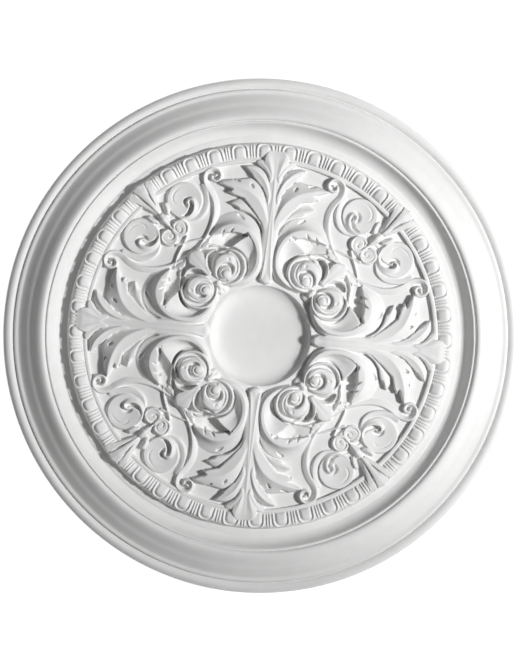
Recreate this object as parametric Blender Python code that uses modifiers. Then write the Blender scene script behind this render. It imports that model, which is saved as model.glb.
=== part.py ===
"""A carved ceiling rose, moulded in one piece, lying on its back with its relief facing up.

The mouldings are one turned profile. The carving is laid out in one eighth of the circle, between
a leaf's axis (+Y) and the scrolls' axis at 45 degrees, then mirrored and turned eight times.
Places and widths in the carving are written in parts of the field, 222 parts to its radius, so a
part is one millimetre at the real size. Heights in the carving are parts too, above the field.
"""

import math
from dataclasses import dataclass

import bmesh
import bpy
from mathutils import Matrix, Vector

# Turned mouldings, from the outer edge inwards, in metres
OUTER_RADIUS = 0.330
EDGE_HEIGHT = 0.008
EDGE_ROLL_WIDTH = 0.013
EDGE_ROLL_HEIGHT = 0.0125
CREASE_HEIGHT = 0.0095
STEP_WIDTH = 0.002
STEP_HEIGHT = 0.012
OGEE_WIDTH = 0.034
CREST_WIDTH = 0.006
CREST_HEIGHT = 0.034
COVE_WIDTH = 0.028
COVE_LIP_HEIGHT = 0.030
COVE_BOTTOM_HEIGHT = 0.016
EGG_BAND_WIDTH = 0.021
EGG_BAND_HEIGHT = 0.029
EGG_BAND_FOOT_HEIGHT = 0.019
EGG_HALF_WIDTH = 0.0095
EGG_HALF_LENGTH = 0.0115
EGG_HEIGHT = 0.0035
EGG_ROOT = 0.008
EGG_TOP_SHARE = 0.78
FILLET_WIDTH = 0.004
FILLET_HEIGHT = 0.0265
FIELD_EDGE_HEIGHT = 0.020
FIELD_CENTRE_HEIGHT = 0.033
RECESS_RADIUS = 0.0655
RECESS_RIM_WIDTH = 0.005
RECESS_RIM_HEIGHT = 0.002
RECESS_FLOOR_HEIGHT = 0.020

# Counts
TURNED_STEPS = 64
LEAVES = 4
EGGS_TO_A_LEAF = 10
EGG_SIDES = 6

# The union leaves slivers where strips cross; this share of its faces keeps every form
KEPT_FACE_SHARE = 0.64

# The carving's own scale
FIELD_PARTS = 222.0
EGG_SPACING_DEGREES = 7.8
ROOT_DEPTH = 0.006

# The egg band's ring ends here, and the field begins
FIELD_RADIUS = (
    OUTER_RADIUS
    - EDGE_ROLL_WIDTH
    - STEP_WIDTH
    - OGEE_WIDTH
    - CREST_WIDTH
    - COVE_WIDTH
    - EGG_BAND_WIDTH
    - FILLET_WIDTH
)
PART = FIELD_RADIUS / FIELD_PARTS

# Vertices of the plain mouldings, which the merging of slivers leaves alone
MOULDINGS = "mouldings"

PRIMED_WHITE = (0.86, 0.86, 0.86, 1.0)


@dataclass(frozen=True)
class Stroke:
    """One carved strip: where its centreline runs, how wide it is and how high it stands."""

    name: str
    path: tuple
    half_widths: tuple
    crown: tuple
    edges: tuple = ()
    stations: int = 5


# Edge heights as shares of the crown's: a leaf's soft edges stand half as high as its middle
SOFT = (0.5, 0.5)

# Leaf lobes from the root outwards, each from the rib to its tip
LOBES = (
    Stroke("lobe_foot", ((5, 112), (12, 132), (25, 147), (43, 151)), (3, 5, 6, 2), (7, 11, 12, 8), SOFT, 4),
    Stroke("lobe_low", ((5, 138), (15, 154), (33, 166), (55, 167)), (3, 6.5, 8, 1.5), (7, 11, 13, 9), SOFT, 4),
    Stroke("lobe_wide", ((5, 158), (14, 177), (36, 191), (69, 190)), (3, 8, 10.5, 1.5), (7, 12, 15, 10), SOFT),
    Stroke("lobe_high", ((5, 178), (12, 197), (25, 209), (43, 213)), (3, 6.5, 6.5, 1.5), (7, 11, 13, 10), SOFT, 4),
    Stroke("lobe_side", ((5, 198), (12, 214), (24, 226)), (3, 6, 2), (9, 14, 15), SOFT, 3),
    Stroke("leaf_tip", ((3, 194), (5, 215), (8, 234)), (4, 9, 6), (9, 18, 17), SOFT, 3),
)

# The curled leaf round the rosette, highest along its outer edge, and the petal on the other side
CURLED_LEAF = Stroke(
    "curled_leaf",
    ((74, 122), (58, 128), (40, 126), (24, 113), (17, 96), (20, 79), (31, 68), (46, 62)),
    (1.5, 8, 11, 10, 8, 8, 6, 4),
    (10, 12, 13, 14, 14, 14, 13, 11),
    (0.45, 1.15),
    9,
)
PETAL = Stroke("petal", ((54, 105), (68, 102), (76, 92), (75, 77)), (3, 5, 5, 2), (15, 16, 14, 11), (), 4)

# Strands that cross on the diagonal, and the long scroll that they grow into
STRAND = Stroke("strand", ((56, 113), (80, 116), (110, 106)), (4, 3.5, 2), (11, 9, 6), (), 4)
LONG_SCROLL = Stroke(
    "long_scroll",
    ((98, 98), (87, 112), (78, 127), (72, 144), (71, 160), (76, 174), (85, 185), (91, 197)),
    (2.5, 3.5, 4, 4.5, 4.5, 4.5, 4, 3),
    (8, 8, 8, 8, 8, 8, 8, 8),
    (),
    8,
)

# Pieces that lie on the diagonal: along it first, then across it
CALYX = Stroke("calyx", ((84, 0), (100, 0), (122, 0), (142, 0)), (5, 5, 8, 6), (12, 13, 14, 11), SOFT, 3)
HUSK = Stroke("husk", ((196, 0), (214, 0), (232, 0), (250, 0)), (1.5, 7, 12, 17), (6, 13, 19, 17), SOFT, 4)

# The rib lies on the leaf's axis, with a groove down its middle
RIB = Stroke(
    "rib",
    ((0, 71), (0, 78), (0, 100), (0, 140), (0, 205)),
    (3, 8.5, 5, 3, 2),
    (6, 8, 9, 10, 12),
    (1.1, 1.1),
    5,
)


@dataclass(frozen=True)
class Volute:
    """A scroll that winds in to an eye: its centre and, along it, radii and half widths."""

    name: str
    centre: tuple
    start_degrees: float
    turn_degrees: float
    radii: tuple
    half_widths: tuple
    crown: tuple
    stations: int


ROSETTE = Volute(
    "rosette",
    (50, 77),
    95,
    600,
    (28, 24, 19, 16, 11, 6),
    (2, 5, 6, 5, 4, 3),
    (12, 15, 17, 18, 18, 20),
    14,
)
OUTER_SCROLL = Volute(
    "outer_scroll",
    (104, 157),
    140,
    -470,
    (28, 27, 26, 20, 12, 8, 5),
    (3, 5, 5.5, 6.5, 4, 2.5, 2),
    (7, 8, 9, 9, 9, 10, 10),
    13,
)
HOOK = Volute("hook", (78, 198), -5, 330, (12, 8.5, 7, 6, 3), (3, 3, 3, 2.5, 2), (8, 9, 9, 9, 10), 8)
SMALL_VOLUTE = Volute(
    "small_volute",
    (116, 127),
    215,
    -400,
    (12, 9, 8, 6, 3),
    (2, 2.5, 3, 3, 2.5),
    (6, 7, 8, 8, 9),
    8,
)
VOLUTES = (ROSETTE, OUTER_SCROLL, HOOK, SMALL_VOLUTE)


@dataclass(frozen=True)
class Boss:
    """A tapered lump: its centre, its radii at the foot and at the top, its height and its sides."""

    name: str
    centre: tuple
    foot_radius: float
    top_radius: float
    crown: float
    sides: int


ROSETTE_BODY = Boss("rosette_body", (50, 79), 26, 18, 12, 8)
SIDE_BELL = Boss("side_bell", (137, 153), 8, 3, 8, 5)
MIDDLE_BELL = Boss("middle_bell", (196, 0), 8, 3, 8, 5)
BUD = Boss("bud", (79, 0), 10, 4, 14, 6)


def clear_scene() -> None:
    """Remove the objects that the scene starts with."""
    for thing in list(bpy.data.objects):
        bpy.data.objects.remove(thing, do_unlink=True)


def new_collection(name: str) -> bpy.types.Collection:
    """Make a collection in the scene."""
    collection = bpy.data.collections.new(name)
    bpy.context.scene.collection.children.link(collection)
    return collection


def primed_finish() -> bpy.types.Material:
    """The rose's factory primer: plain white, dull and dry."""
    material = bpy.data.materials.new("primed_white")
    material.use_nodes = True
    shader = material.node_tree.nodes["Principled BSDF"]
    shader.inputs["Base Color"].default_value = PRIMED_WHITE
    shader.inputs["Roughness"].default_value = 0.6
    shader.inputs["Metallic"].default_value = 0.0
    return material


def arc(start: tuple, end: tuple, bulge: float, steps: int) -> list:
    """Points of a circular arc between two places, bowed to its left by a share of its chord."""
    first, last = Vector(start), Vector(end)
    chord = last - first
    side = Vector((-chord.y, chord.x)) * bulge
    points = []
    for step in range(1, steps):
        share = step / steps
        rise = 4.0 * share * (1.0 - share)
        points.append(tuple(first + chord * share + side * rise))
    return points


def field_height(radius: float) -> float:
    """Height of the carved field above the back, which falls evenly from the centre outwards."""
    inner = RECESS_RADIUS + RECESS_RIM_WIDTH
    share = (radius - inner) / (FIELD_RADIUS - inner)
    return FIELD_CENTRE_HEIGHT + (FIELD_EDGE_HEIGHT - FIELD_CENTRE_HEIGHT) * share


def mouldings() -> list:
    """The rose's half section as radius and height, from the outer edge in to the recess."""
    crease = OUTER_RADIUS - EDGE_ROLL_WIDTH
    step = crease - STEP_WIDTH
    crest_outer = step - OGEE_WIDTH
    crest_inner = crest_outer - CREST_WIDTH
    band_outer = crest_inner - COVE_WIDTH
    band_inner = band_outer - EGG_BAND_WIDTH
    band_middle = (band_outer + band_inner) / 2.0
    recess_rim = RECESS_RADIUS + RECESS_RIM_WIDTH
    rim_top = FIELD_CENTRE_HEIGHT + RECESS_RIM_HEIGHT
    ogee_middle = (step - OGEE_WIDTH * 0.52, (STEP_HEIGHT + CREST_HEIGHT) / 2.0)
    cove_low = (band_outer + COVE_WIDTH * 0.3, COVE_BOTTOM_HEIGHT)

    inwards = [(OUTER_RADIUS, EDGE_HEIGHT)]
    inwards.append((OUTER_RADIUS - EDGE_ROLL_WIDTH * 0.3, EDGE_ROLL_HEIGHT))
    inwards.append((crease, CREASE_HEIGHT))
    inwards.append((step, STEP_HEIGHT))
    inwards += arc((step, STEP_HEIGHT), ogee_middle, 0.14, 2)
    inwards.append(ogee_middle)
    inwards += arc(ogee_middle, (crest_outer, CREST_HEIGHT), -0.14, 2)
    inwards.append((crest_outer, CREST_HEIGHT))
    inwards.append((crest_inner, COVE_LIP_HEIGHT))
    inwards += arc((crest_inner, COVE_LIP_HEIGHT), cove_low, 0.14, 2)
    inwards.append(cove_low)
    inwards.append((band_outer, EGG_BAND_FOOT_HEIGHT))
    inwards.append((band_outer - EGG_BAND_WIDTH * 0.2, EGG_BAND_HEIGHT - 0.002))
    inwards.append((band_middle - EGG_BAND_WIDTH * 0.1, EGG_BAND_HEIGHT))
    inwards.append((band_inner, FILLET_HEIGHT))
    inwards.append((FIELD_RADIUS, FILLET_HEIGHT))
    inwards.append((FIELD_RADIUS - 0.001, FIELD_EDGE_HEIGHT))
    inwards.append((recess_rim, FIELD_CENTRE_HEIGHT))
    inwards.append((RECESS_RADIUS + RECESS_RIM_WIDTH * 0.4, rim_top))
    inwards.append((RECESS_RADIUS, FIELD_CENTRE_HEIGHT))
    inwards.append((RECESS_RADIUS - 0.002, RECESS_FLOOR_HEIGHT))
    return inwards


def turned_base(collection: bpy.types.Collection) -> bpy.types.Object:
    """Turn the half section into the solid that carries the carving."""
    # The section is walked from the axis out, down the outer edge and back along the flat back
    outline = [(0.0, RECESS_FLOOR_HEIGHT)] + mouldings()[::-1] + [(OUTER_RADIUS, 0.0), (0.0, 0.0)]
    mesh = bpy.data.meshes.new("ceiling_rose")
    shape = bmesh.new()
    points = [shape.verts.new((radius, 0.0, height)) for radius, height in outline]
    for first, second in zip(points, points[1:]):
        shape.edges.new((first, second))
    shape.to_mesh(mesh)
    shape.free()
    rose = bpy.data.objects.new("ceiling_rose", mesh)
    collection.objects.link(rose)
    kept = rose.vertex_groups.new(name=MOULDINGS)
    kept.add([point.index for point in mesh.vertices if point.co.x > FIELD_RADIUS], 1.0, "REPLACE")
    screw = rose.modifiers.new("turn", "SCREW")
    screw.axis = "Z"
    screw.steps = TURNED_STEPS
    screw.render_steps = TURNED_STEPS
    screw.use_merge_vertices = True
    screw.merge_threshold = 0.00005
    return rose


def along(values: tuple, share: float) -> float:
    """Read a value off a row of them, spaced evenly from share 0 to share 1."""
    place = share * (len(values) - 1)
    index = min(int(place), len(values) - 2)
    return values[index] + (values[index + 1] - values[index]) * (place - index)


def smooth_point(path: tuple, share: float) -> Vector:
    """A point on the smooth curve through a path's places, at a share of the way along it."""
    place = share * (len(path) - 1)
    index = min(int(place), len(path) - 2)
    local = place - index
    before = Vector(path[max(index - 1, 0)])
    start, end = Vector(path[index]), Vector(path[index + 1])
    after = Vector(path[min(index + 2, len(path) - 1)])
    leave, arrive = (end - before) / 2.0, (after - start) / 2.0
    cube, square = local ** 3, local ** 2
    return (
        start * (2 * cube - 3 * square + 1)
        + leave * (cube - 2 * square + local)
        + end * (3 * square - 2 * cube)
        + arrive * (cube - square)
    )


def stroke_centreline(stroke: Stroke) -> list:
    """Centreline of a stroke as plane points in parts."""
    last = stroke.stations - 1
    return [smooth_point(stroke.path, index / last) for index in range(stroke.stations)]


def volute_centreline(volute: Volute) -> list:
    """Centreline of a volute as plane points in parts, from its outer end in to its eye."""
    points = []
    for index in range(volute.stations):
        share = index / (volute.stations - 1)
        angle = math.radians(volute.start_degrees + volute.turn_degrees * share)
        radius = along(volute.radii, share)
        points.append(Vector(volute.centre) + Vector((math.cos(angle), math.sin(angle))) * radius)
    return points


def strip(name: str, centreline: list, half_widths: tuple, crown: tuple, edges: tuple) -> bpy.types.Mesh:
    """Loft a closed strip along a centreline, from below the field up to its carved top.

    Each section has a root on either side and a crown between them. Where edge shares are given, it
    also has two edges, which stand at those shares of the crown's height above the field.
    """
    shape = bmesh.new()
    sections = []
    last = len(centreline) - 1
    for index, point in enumerate(centreline):
        share = index / last
        ahead = centreline[min(index + 1, last)] - centreline[max(index - 1, 0)]
        side = Vector((-ahead.y, ahead.x)).normalized() * along(half_widths, share)
        ground = field_height(point.length * PART)
        top = along(crown, share) * PART
        outline = [(side, -ROOT_DEPTH), (Vector((0.0, 0.0)), top), (-side, -ROOT_DEPTH)]
        if edges:
            outline.insert(1, (side, top * edges[0]))
            outline.insert(3, (-side, top * edges[1]))
        corners = []
        for offset, height in outline:
            place = (point + offset) * PART
            corners.append(shape.verts.new((place.x, place.y, ground + height)))
        sections.append(corners)
    for near, far in zip(sections, sections[1:]):
        for corner in range(len(near)):
            following = (corner + 1) % len(near)
            shape.faces.new((near[corner], near[following], far[following], far[corner]))
    shape.faces.new(sections[0][::-1])
    shape.faces.new(sections[-1])
    bmesh.ops.recalc_face_normals(shape, faces=shape.faces)
    mesh = bpy.data.meshes.new(name)
    shape.to_mesh(mesh)
    shape.free()
    return mesh


def boss_mesh(boss: Boss) -> bpy.types.Mesh:
    """A truncated cone that stands in the field."""
    shape = bmesh.new()
    height = boss.crown * PART + ROOT_DEPTH
    bmesh.ops.create_cone(
        shape,
        cap_ends=True,
        segments=boss.sides,
        radius1=boss.foot_radius * PART,
        radius2=boss.top_radius * PART,
        depth=height,
    )
    place = Vector(boss.centre) * PART
    middle = field_height(place.length) - ROOT_DEPTH + height / 2.0
    bmesh.ops.translate(shape, vec=(place.x, place.y, middle), verts=shape.verts)
    mesh = bpy.data.meshes.new(boss.name)
    shape.to_mesh(mesh)
    shape.free()
    return mesh


def egg_mesh() -> bpy.types.Mesh:
    """One egg of the egg-and-dart band, on +Y, standing on the band's rounded back."""
    shape = bmesh.new()
    bmesh.ops.create_cone(
        shape,
        cap_ends=True,
        segments=EGG_SIDES,
        radius1=1.0,
        radius2=EGG_TOP_SHARE,
        depth=EGG_HEIGHT + EGG_ROOT,
        matrix=Matrix.Rotation(math.pi / EGG_SIDES, 4, "Z"),
    )
    bmesh.ops.scale(shape, vec=(EGG_HALF_WIDTH, EGG_HALF_LENGTH, 1.0), verts=shape.verts)
    band_middle = FIELD_RADIUS + FILLET_WIDTH + EGG_BAND_WIDTH / 2.0
    middle = EGG_BAND_HEIGHT + (EGG_HEIGHT - EGG_ROOT) / 2.0
    bmesh.ops.translate(shape, vec=(0.0, band_middle, middle), verts=shape.verts)
    mesh = bpy.data.meshes.new("egg")
    shape.to_mesh(mesh)
    shape.free()
    return mesh


def place_mesh(
    source: bpy.types.Mesh,
    name: str,
    matrix: Matrix,
    collection: bpy.types.Collection,
) -> bpy.types.Object:
    """Put a copy of a mesh into the carving, turned or mirrored by a matrix."""
    mesh = source.copy()
    mesh.name = name
    mesh.transform(matrix)
    if matrix.determinant() < 0.0:
        mesh.flip_normals()
    thing = bpy.data.objects.new(name, mesh)
    thing.hide_render = True
    thing.display_type = "WIRE"
    collection.objects.link(thing)
    return thing


def eighth_meshes() -> list:
    """Meshes that each eighth of the circle repeats, mirrored in every other one."""
    meshes = []
    for stroke in LOBES + (CURLED_LEAF, PETAL, STRAND, LONG_SCROLL):
        line = stroke_centreline(stroke)
        meshes.append(strip(stroke.name, line, stroke.half_widths, stroke.crown, stroke.edges))
    for volute in VOLUTES:
        line = volute_centreline(volute)
        meshes.append(strip(volute.name, line, volute.half_widths, volute.crown, ()))
    for boss in (ROSETTE_BODY, SIDE_BELL):
        meshes.append(boss_mesh(boss))
    return meshes


def carve(collection: bpy.types.Collection) -> None:
    """Set every carved piece out round the circle."""
    eighth = eighth_meshes()
    rib = strip("rib", stroke_centreline(RIB), RIB.half_widths, RIB.crown, RIB.edges)
    diagonal = [
        strip(stroke.name, stroke_centreline(stroke), stroke.half_widths, stroke.crown, stroke.edges)
        for stroke in (CALYX, HUSK)
    ]
    diagonal += [boss_mesh(boss) for boss in (MIDDLE_BELL, BUD)]
    egg = egg_mesh()
    quarter = 2.0 * math.pi / LEAVES
    mirror = Matrix.Scale(-1.0, 4, Vector((1.0, 0.0, 0.0)))
    for leaf in range(LEAVES):
        turn = Matrix.Rotation(quarter * leaf, 4, "Z")
        for mesh in eighth:
            place_mesh(mesh, f"{mesh.name}_{leaf}_right", turn, collection)
            place_mesh(mesh, f"{mesh.name}_{leaf}_left", turn @ mirror, collection)
        place_mesh(rib, f"rib_{leaf}", turn, collection)
        half_turn = Matrix.Rotation(quarter * (leaf + 0.5), 4, "Z")
        for mesh in diagonal:
            place_mesh(mesh, f"{mesh.name}_{leaf}", half_turn, collection)
        for index in range(EGGS_TO_A_LEAF):
            offset = (index - (EGGS_TO_A_LEAF - 1) / 2.0) * math.radians(EGG_SPACING_DEGREES)
            egg_turn = Matrix.Rotation(quarter * leaf + offset, 4, "Z")
            place_mesh(egg, f"egg_{leaf}_{index}", egg_turn, collection)


def main() -> None:
    """Build the rose."""
    clear_scene()
    rose_collection = new_collection("ceiling_rose")
    carving = new_collection("carving")
    rose = turned_base(rose_collection)
    rose.data.materials.append(primed_finish())
    carve(carving)
    union = rose.modifiers.new("carving", "BOOLEAN")
    union.operation = "UNION"
    union.operand_type = "COLLECTION"
    union.collection = carving
    union.solver = "EXACT"
    thin = rose.modifiers.new("merge_slivers", "DECIMATE")
    thin.ratio = KEPT_FACE_SHARE
    thin.vertex_group = MOULDINGS
    thin.invert_vertex_group = True


if __name__ == "__main__":
    main()
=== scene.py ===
"""A cast ceiling rose in white primer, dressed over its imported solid."""

import logging
import math
from dataclasses import dataclass, field, replace
from enum import Enum

import bmesh
import bpy
import numpy as np
from mathutils import Matrix, Vector

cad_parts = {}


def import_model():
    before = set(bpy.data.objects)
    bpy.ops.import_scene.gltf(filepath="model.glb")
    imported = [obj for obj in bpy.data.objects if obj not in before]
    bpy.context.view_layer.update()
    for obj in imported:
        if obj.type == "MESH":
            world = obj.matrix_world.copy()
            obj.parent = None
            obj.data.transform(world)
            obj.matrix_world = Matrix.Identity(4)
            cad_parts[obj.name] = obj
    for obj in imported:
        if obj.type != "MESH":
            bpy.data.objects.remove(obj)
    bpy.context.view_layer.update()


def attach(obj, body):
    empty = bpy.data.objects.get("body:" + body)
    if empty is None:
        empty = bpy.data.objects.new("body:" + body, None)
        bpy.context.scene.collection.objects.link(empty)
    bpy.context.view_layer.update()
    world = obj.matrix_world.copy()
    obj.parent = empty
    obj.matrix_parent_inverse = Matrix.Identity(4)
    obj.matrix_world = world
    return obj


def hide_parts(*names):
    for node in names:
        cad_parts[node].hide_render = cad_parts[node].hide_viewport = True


MM = 0.001
NODE = "ceiling_rose"
BODY = "root"

# Relief tools start here

FIELD_RADIUS = 222.0
RECESS_RIM = 70.5
FIELD_CENTRE = 33.0
FIELD_EDGE = 20.0


class Mode(Enum):
    """How a carved form meets what lies under it."""

    RAISE = "raise"
    COVER = "cover"
    CARVE = "carve"
    ADD = "add"


@dataclass(frozen=True)
class Teeth:
    """Serrations of one edge: side is 1 for the left of the path and -1 for the right."""

    side: int
    start: float
    count: int
    depth: float
    groove: float = 0.25


@dataclass(frozen=True)
class Stroke:
    """A ridge that follows a centre line, in millimetres over the carved field."""

    path: tuple
    left: tuple
    right: tuple
    crown: tuple
    section: tuple = (0.6, 1.0, 0.6)
    tip_section: tuple = ()
    wall: float = 1.2
    teeth: Teeth | None = None
    flutes: tuple = ()
    mode: Mode = Mode.RAISE
    samples: int = 90


@dataclass(frozen=True)
class Rail:
    """One long line of a leaf's surface: its points in plan, and its heights over the field."""

    points: tuple
    heights: tuple
    sharp: bool = False


@dataclass(frozen=True)
class Blade:
    """A leaf surface stretched across rails that all run from its root to its tip."""

    rails: tuple
    mode: Mode = Mode.RAISE


def curve(path: tuple, count: int) -> np.ndarray:
    """Read a smooth curve through given points.

    Args:
        path: The points in plan.
        count: How many places are read.

    Returns:
        The places, one row each.
    """
    points = np.asarray(path, float)
    spans = len(points) - 1
    at = np.linspace(0, spans, count)
    index = np.minimum(at.astype(int), spans - 1)
    share = (at - index)[:, None]
    start, end = points[index], points[index + 1]
    leave = (end - points[np.maximum(index - 1, 0)]) / 2
    arrive = (points[np.minimum(index + 2, spans)] - start) / 2
    square, cube = share ** 2, share ** 3
    return (start * (2 * cube - 3 * square + 1) + leave * (cube - 2 * square + share)
            + end * (3 * square - 2 * cube) + arrive * (cube - square))


def along(values: tuple, share: np.ndarray) -> np.ndarray:
    """Read evenly spaced values at shares from 0 to 1, rounded where they turn."""
    row = np.asarray(values, float)
    places = np.linspace(0, 1, len(row))
    if len(row) < 3:
        return np.interp(share, places, row)
    fine = np.linspace(0, 1, 240)
    width = max(3, int(120 / (len(row) - 1))) | 1
    padded = np.pad(np.interp(fine, places, row), width // 2, mode="edge")
    rounded = np.convolve(padded, np.ones(width) / width, mode="valid")
    return np.interp(share, fine, rounded)


def across(values: tuple, share: np.ndarray) -> np.ndarray:
    """Read a section's values from its right edge at -1 to its left edge at 1, as a smooth curve."""
    row = np.asarray(values, float)
    spans = len(row) - 1
    at = np.clip((share + 1) / 2, 0, 1) * spans
    index = np.minimum(at.astype(int), spans - 1)
    part = at - index
    start, end = row[index], row[index + 1]
    leave = (end - row[np.maximum(index - 1, 0)]) / 2
    arrive = (row[np.minimum(index + 2, spans)] - start) / 2
    leave = np.where(index == 0, end - start, leave)
    arrive = np.where(index == spans - 1, end - start, arrive)
    square, cube = part ** 2, part ** 3
    return (start * (2 * cube - 3 * square + 1) + leave * (cube - 2 * square + part)
            + end * (3 * square - 2 * cube) + arrive * (cube - square))


def spiral(centre: tuple, start: float, turn: float, radii: tuple, count: int = 40) -> tuple:
    """Points of a spiral: it starts at an angle in degrees and turns while its radius changes."""
    shares = np.linspace(0, 1, count)
    angles = np.radians(start + turn * shares)
    reach = along(radii, shares)
    return tuple(zip(centre[0] + reach * np.cos(angles), centre[1] + reach * np.sin(angles)))


def swapped(points: tuple, diagonal: bool) -> tuple:
    """Mirror points in the leaf's axis, or in the diagonal between two leaves."""
    if diagonal:
        return tuple((y, x) for x, y in points)
    return tuple((-x, y) for x, y in points)


def mirrored(form: Stroke | Blade, diagonal: bool) -> Stroke | Blade:
    """Mirror a carved form in the leaf's axis or in the diagonal."""
    if isinstance(form, Blade):
        rails = tuple(replace(rail, points=swapped(rail.points, diagonal)) for rail in form.rails)
        return replace(form, rails=rails)
    teeth = form.teeth and replace(form.teeth, side=-form.teeth.side)
    return replace(form, path=swapped(form.path, diagonal), left=form.right, right=form.left,
                   section=form.section[::-1], tip_section=form.tip_section[::-1], teeth=teeth)


def soften(values: np.ndarray, sigma: float) -> np.ndarray:
    """Blur a grid of heights by a bell curve, sigma in cells."""
    reach = max(1, int(sigma * 3))
    weights = np.exp(-0.5 * (np.arange(-reach, reach + 1) / sigma) ** 2)
    weights /= weights.sum()
    for axis in (0, 1):
        padded = np.pad(values, [(reach, reach) if axis == side else (0, 0) for side in (0, 1)], mode="edge")
        total = np.zeros_like(values)
        for step, weight in enumerate(weights):
            part = slice(step, step + values.shape[axis])
            total += weight * (padded[part] if axis == 0 else padded[:, part])
        values = total
    return values


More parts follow.
